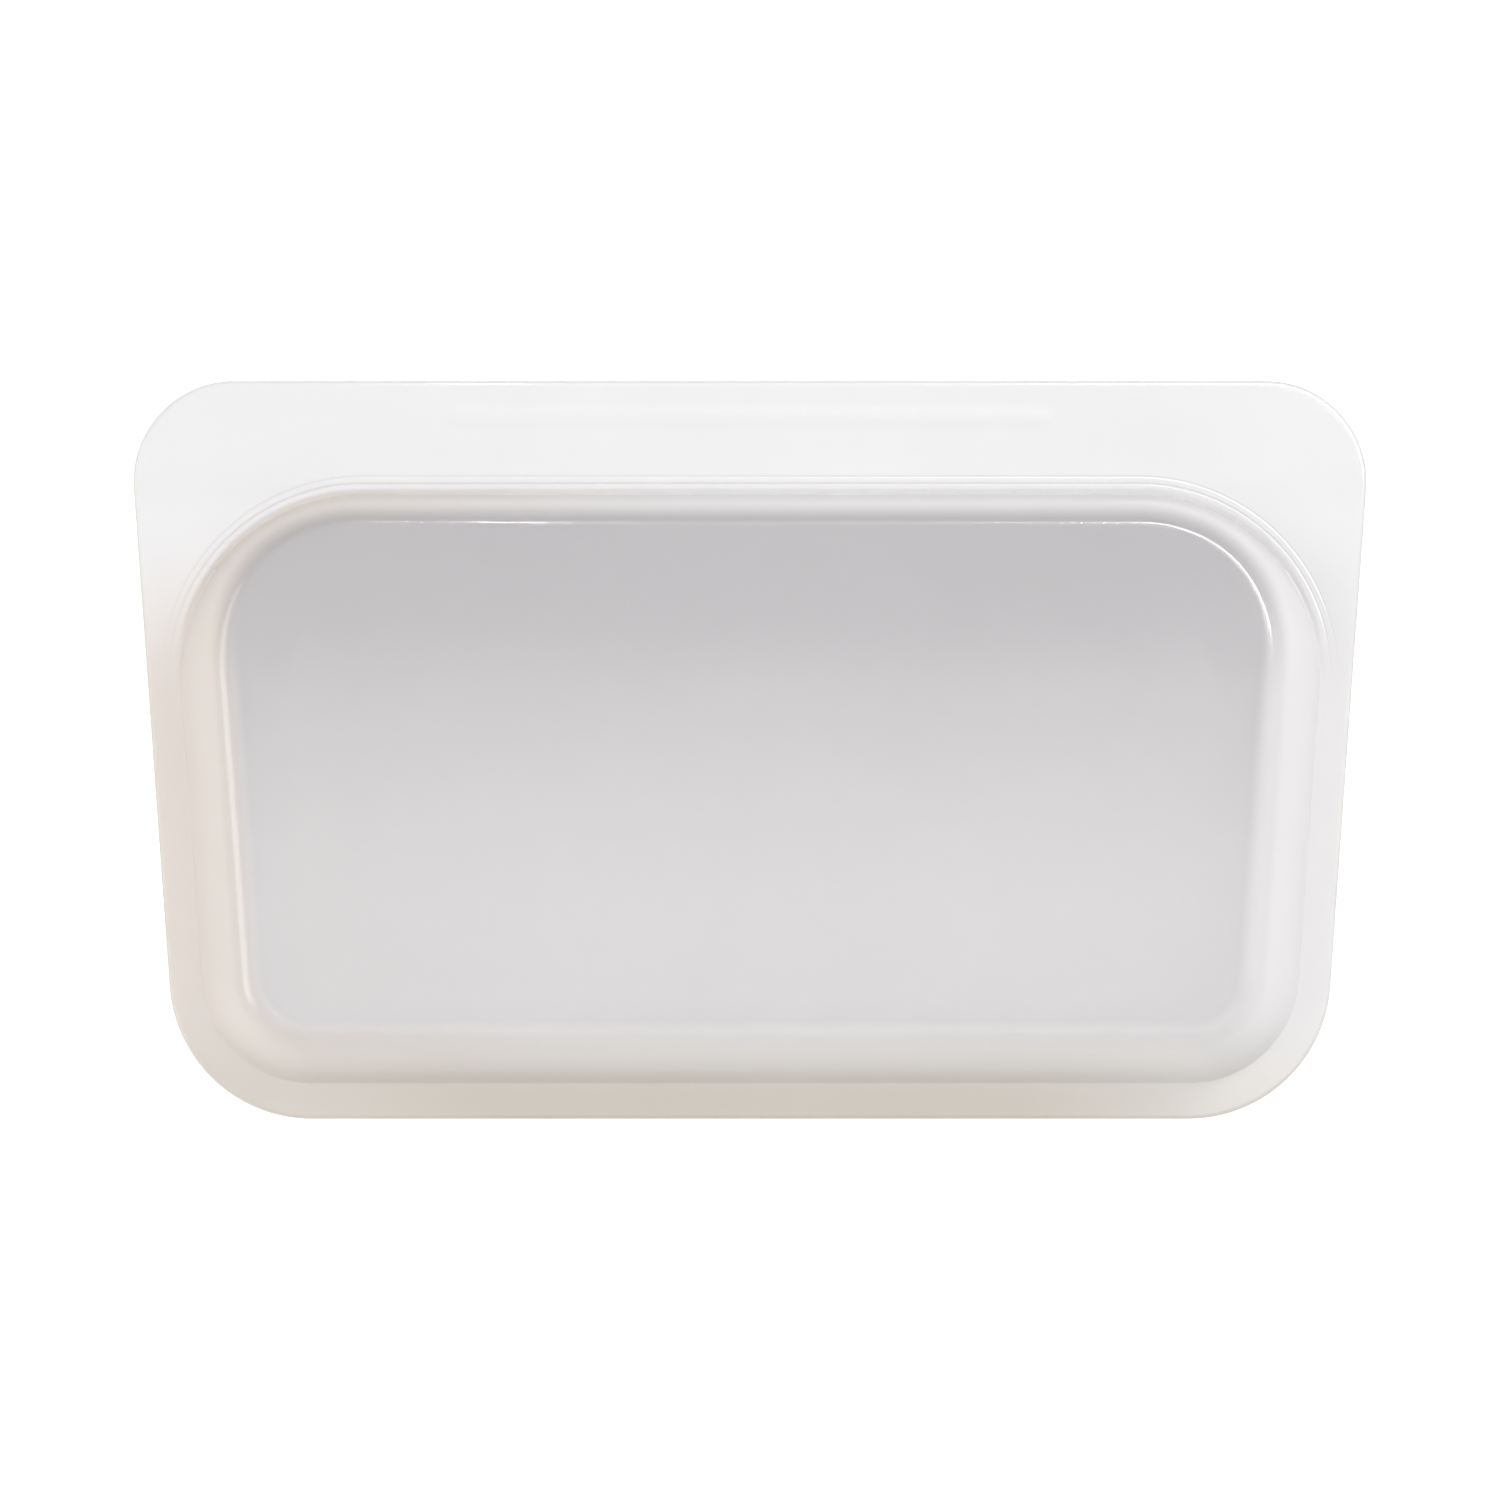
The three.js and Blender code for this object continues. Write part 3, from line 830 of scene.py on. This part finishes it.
def soft_corners(points, radius):
    """The polygon with each corner cut by a small arc."""
    soft = []
    corners = [Vector(point) for point in points]
    for i, corner in enumerate(corners):
        before = (corners[i - 1] - corner).normalized() * radius
        after = (corners[(i + 1) % len(corners)] - corner).normalized() * radius
        for share in CORNER_SHARES:
            soft.append(tuple(corner + before * (1 - share) ** 2 + after * share ** 2))
    return soft


def seal_material():
    return material_once("seal_silicone", plain_material, tuple(colours().seal), SEAL_ALPHA,
                         SEAL_ROUGHNESS)


def channel_section():
    """Floor and two ribs, from the floor's underside up."""
    half = CHANNEL_HIGH.y - seal_centre()[1] - seal_radius()
    inner = half - RIB_WIDTH
    high = CHANNEL_HIGH.z - CHANNEL_LOW.z - STRIP_INSET
    points = [(-half, 0), (half, 0), (half, high), (inner, high), (inner, CHANNEL_FLOOR),
              (-inner, CHANNEL_FLOOR), (-inner, high), (-half, high)]
    return soft_corners(points, CHANNEL_CORNER)


def tongue_section():
    """A swollen foot on a neck, under a flat base."""
    half = TONGUE_HIGH.y - seal_centre()[1] - seal_radius()
    base = CHANNEL_HIGH.z + RIB_TOP_GAP - TONGUE_LOW.z
    high = TONGUE_HIGH.z - TONGUE_LOW.z - STRIP_INSET
    foot = TONGUE_WIDTH / 2
    neck = TONGUE_NECK / 2
    tip = foot * TONGUE_TIP
    right = [(tip, 0), (foot, TONGUE_SWELL), (neck, NECK_STARTS), (neck, base), (half, base), (half, high)]
    left = [(-x, y) for x, y in reversed(right)]
    return soft_corners([left[-1], *right, *left[:-1]], TONGUE_CORNER)


def bond_line_mesh(name):
    """The flat strip between the flanges, round the sides and the bottom."""
    outer = outline_points(bag_outline(), sizes().edge_round / 2)
    inner = outline_points(pocket_outline())
    count = len(outer)
    here = np.arange(count)
    after = (here + 1) % count
    level = SEAM_LOW.z + SEAM_INSET
    points = np.column_stack([np.vstack([outer, inner]), np.full(2 * count, level)])
    faces = np.column_stack([here, after, after + count, here + count])
    mesh = bpy.data.meshes.new(name)
    mesh.from_pydata(points.tolist(), [], faces.tolist())
    keep_side(mesh, SEAM_HIGH.y, False, close=False)
    return mesh


class BAG_OT_front_skin(bpy.types.Operator):
    """Make the front half: the pocket wall, and the lip above it"""

    bl_idname = "bag.front_skin"
    bl_label = "Front Half"

    def execute(self, context):
        split = pocket_outline()["top"] + sizes().split_above_step
        wall = half_skin("front_pocket_skin", True, keep=(split, False))
        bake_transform(wall)
        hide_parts("front_wall", "front_mouth_wall")
        lip = half_skin("front_lip_skin", True, keep=(split, True))
        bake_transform(lip)
        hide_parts("front_rim", "front_grip_bar")
        return {"FINISHED"}


class BAG_OT_back_skin(bpy.types.Operator):
    """Make the back half"""

    bl_idname = "bag.back_skin"
    bl_label = "Back Half"

    def execute(self, context):
        skin = half_skin("back_skin", False)
        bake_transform(skin)
        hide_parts("back_wall", "back_rim", "back_grip_bar")
        return {"FINISHED"}


class BAG_OT_seal(bpy.types.Operator):
    """Make the pinch seal: a channel on the back half and a tongue on the front half"""

    bl_idname = "bag.seal"
    bl_label = "Pinch Seal"

    def execute(self, context):
        channel = swept_strip("seal_channel_strip", channel_section(), CHANNEL_LOW.z + STRIP_INSET,
                              seal_material())
        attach(channel, BODY)
        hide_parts("seal_channel")
        tongue = swept_strip("seal_tongue_strip", tongue_section(), TONGUE_LOW.z, seal_material())
        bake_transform(tongue)
        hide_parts("seal_tongue")
        return {"FINISHED"}


class BAG_OT_bond_line(bpy.types.Operator):
    """Make the bond line between the flanges"""

    bl_idname = "bag.bond_line"
    bl_label = "Bond Line"

    def execute(self, context):
        source = new_object("bond_line_plan", bond_line_mesh("bond_line_plan"))
        source.data.materials.append(material_once(
            "bond_silicone", plain_material, tuple(colours().seal), BOND_ALPHA, BOND_ROUGHNESS))
        thickness = source.modifiers.new("bond", "SOLIDIFY")
        thickness.thickness = SEAM_HIGH.z - SEAM_LOW.z - 2 * SEAM_INSET
        thickness.offset = 1.0
        bond = make_plain(source, "bond_line")
        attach(bond, BODY)
        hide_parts("side_and_bottom_seam")
        return {"FINISHED"}


# ---- Stage ----

CAMERA_DISTANCE = 1.8
CAMERA_REACH = 20.0
FRAME_WIDTH = 0.232
SENSOR_MM = 36.0
FLOOR_HALF_SIDE = 3.0
FLOOR_GAP = 0.2 * MM
FLOOR_ROUGHNESS = 0.9
FLOOR_GLOW = 0.45
AMBIENT = 0.4
BAG_CENTRE = (BAG_LOW + BAG_HIGH) / 2


def aimed(name, data, place, target):
    piece = new_object(name, data)
    piece.location = place
    piece.rotation_euler = (Vector(target) - Vector(place)).to_track_quat("-Z", "Y").to_euler()
    return piece


def area_lamp(name, place, size, power, colour=WHITE, target=BAG_CENTRE, diffuse=True, glossy=True):
    """A soft rectangular lamp. Without diffuse it only reflects, and without glossy it never does."""
    lamp = bpy.data.lights.new(name, "AREA")
    lamp.shape = "RECTANGLE"
    lamp.size, lamp.size_y = size
    lamp.energy = power
    lamp.color = colour
    piece = aimed(name, lamp, place, target)
    piece.visible_diffuse = diffuse
    piece.visible_glossy = glossy
    return piece


def add_lamps():
    area_lamp("overhead", place=(0.0, -0.15, 1.5), size=(1.6, 1.6), power=6.7)
    area_lamp("left_strip", place=(-0.85, 0.0, 0.6), size=(0.9, 0.35), power=3.6, colour=(1.0, 0.985, 0.96))
    area_lamp("right_strip", place=(0.9, -0.15, 0.6), size=(0.9, 0.35), power=1.0)
    area_lamp("upper_right_key", place=(0.78, 0.78, 0.55), size=(0.7, 0.5), power=5.4, glossy=False)
    area_lamp("near_strip", place=(0.0, -1.0, 0.6), size=(0.35, 1.0), power=2.0, glossy=False)
    area_lamp("corner_glint", place=(0.46, 0.47, 1.0), size=(1.0, 0.11), power=28.0, diffuse=False)
    area_lamp("small_glint", place=(-0.068, 0.66, 0.95), size=(0.011, 0.20), power=0.9,
              target=(-0.042, 0.035, 0.02), diffuse=False)


def floor_material():
    """Pale floor: its own shading, topped up to white for what the camera sees."""
    material = bpy.data.materials.new("studio_floor")
    material.use_nodes = True
    t = Tree(material.node_tree)
    shader = material.node_tree.nodes["Principled BSDF"]
    shader.inputs["Base Color"].default_value = opaque(colours().floor)
    shader.inputs["Roughness"].default_value = FLOOR_ROUGHNESS
    shader.inputs["Specular IOR Level"].default_value = 0.0
    seen = t.node("ShaderNodeLightPath").outputs["Is Camera Ray"]
    t.link(t.maths("MULTIPLY", seen, FLOOR_GLOW), shader.inputs["Emission Strength"])
    shader.inputs["Emission Color"].default_value = opaque(WHITE)
    return material


def studio_world(ambient):
    """White to the camera, and a softer light on the bag."""
    world = bpy.data.worlds.new("studio")
    bpy.context.scene.world = world
    world.use_nodes = True
    t = Tree(world.node_tree)
    rays = t.node("ShaderNodeLightPath").outputs
    background = world.node_tree.nodes["Background"]
    background.inputs["Color"].default_value = opaque(WHITE)
    t.link(t.mix(rays["Is Camera Ray"], ambient, 1.0, kind="FLOAT"), background.inputs["Strength"])


class BAG_OT_stage(bpy.types.Operator):
    """Set the pale floor, the soft lamps and the camera straight above the bag"""

    bl_idname = "bag.stage"
    bl_label = "Studio Stage"

    def execute(self, context):
        corners = [(x * FLOOR_HALF_SIDE, y * FLOOR_HALF_SIDE, BAG_LOW.z - FLOOR_GAP)
                   for x, y in ((-1, -1), (1, -1), (1, 1), (-1, 1))]
        mesh = bpy.data.meshes.new("studio_floor")
        mesh.from_pydata(corners, [], [(0, 1, 2, 3)])
        mesh.materials.append(floor_material())
        new_object("studio_floor", mesh)
        studio_world(AMBIENT)
        add_lamps()
        camera = bpy.data.cameras.new("camera")
        camera.sensor_width = SENSOR_MM
        camera.lens = SENSOR_MM * CAMERA_DISTANCE / FRAME_WIDTH
        camera.clip_end = CAMERA_REACH
        viewer = new_object("camera", camera)
        viewer.location = BAG_CENTRE + Vector((0, 0, CAMERA_DISTANCE))
        context.scene.camera = viewer
        context.scene.view_settings.view_transform = "Standard"
        return {"FINISHED"}


PIECES = (BAG_OT_back_skin, BAG_OT_seal, BAG_OT_bond_line, BAG_OT_front_skin, BAG_OT_stage)


class BAG_PT_panel(bpy.types.Panel):
    """The bag's pieces and settings"""

    bl_idname = "BAG_PT_panel"
    bl_label = "Silicone Bag"
    bl_space_type = "VIEW_3D"
    bl_region_type = "UI"
    bl_category = "Silicone Bag"

    def draw(self, context):
        for piece in PIECES:
            self.layout.operator(piece.bl_idname)
        for settings in (context.scene.bag_sizes, context.scene.bag_colours):
            for name in settings.__annotations__:
                self.layout.prop(settings, name)


CLASSES = (BagSizes, BagColours, *PIECES, BAG_PT_panel)


def register():
    for kind in CLASSES:
        bpy.utils.register_class(kind)
    bpy.types.Scene.bag_sizes = bpy.props.PointerProperty(type=BagSizes)
    bpy.types.Scene.bag_colours = bpy.props.PointerProperty(type=BagColours)


def unregister():
    del bpy.types.Scene.bag_colours
    del bpy.types.Scene.bag_sizes
    for kind in reversed(CLASSES):
        bpy.utils.unregister_class(kind)


def main():
    register()
    bpy.ops.bag.back_skin()
    bpy.ops.bag.seal()
    bpy.ops.bag.bond_line()
    bpy.ops.bag.front_skin()
    bpy.ops.bag.stage()


if __name__ == "__main__":
    main()
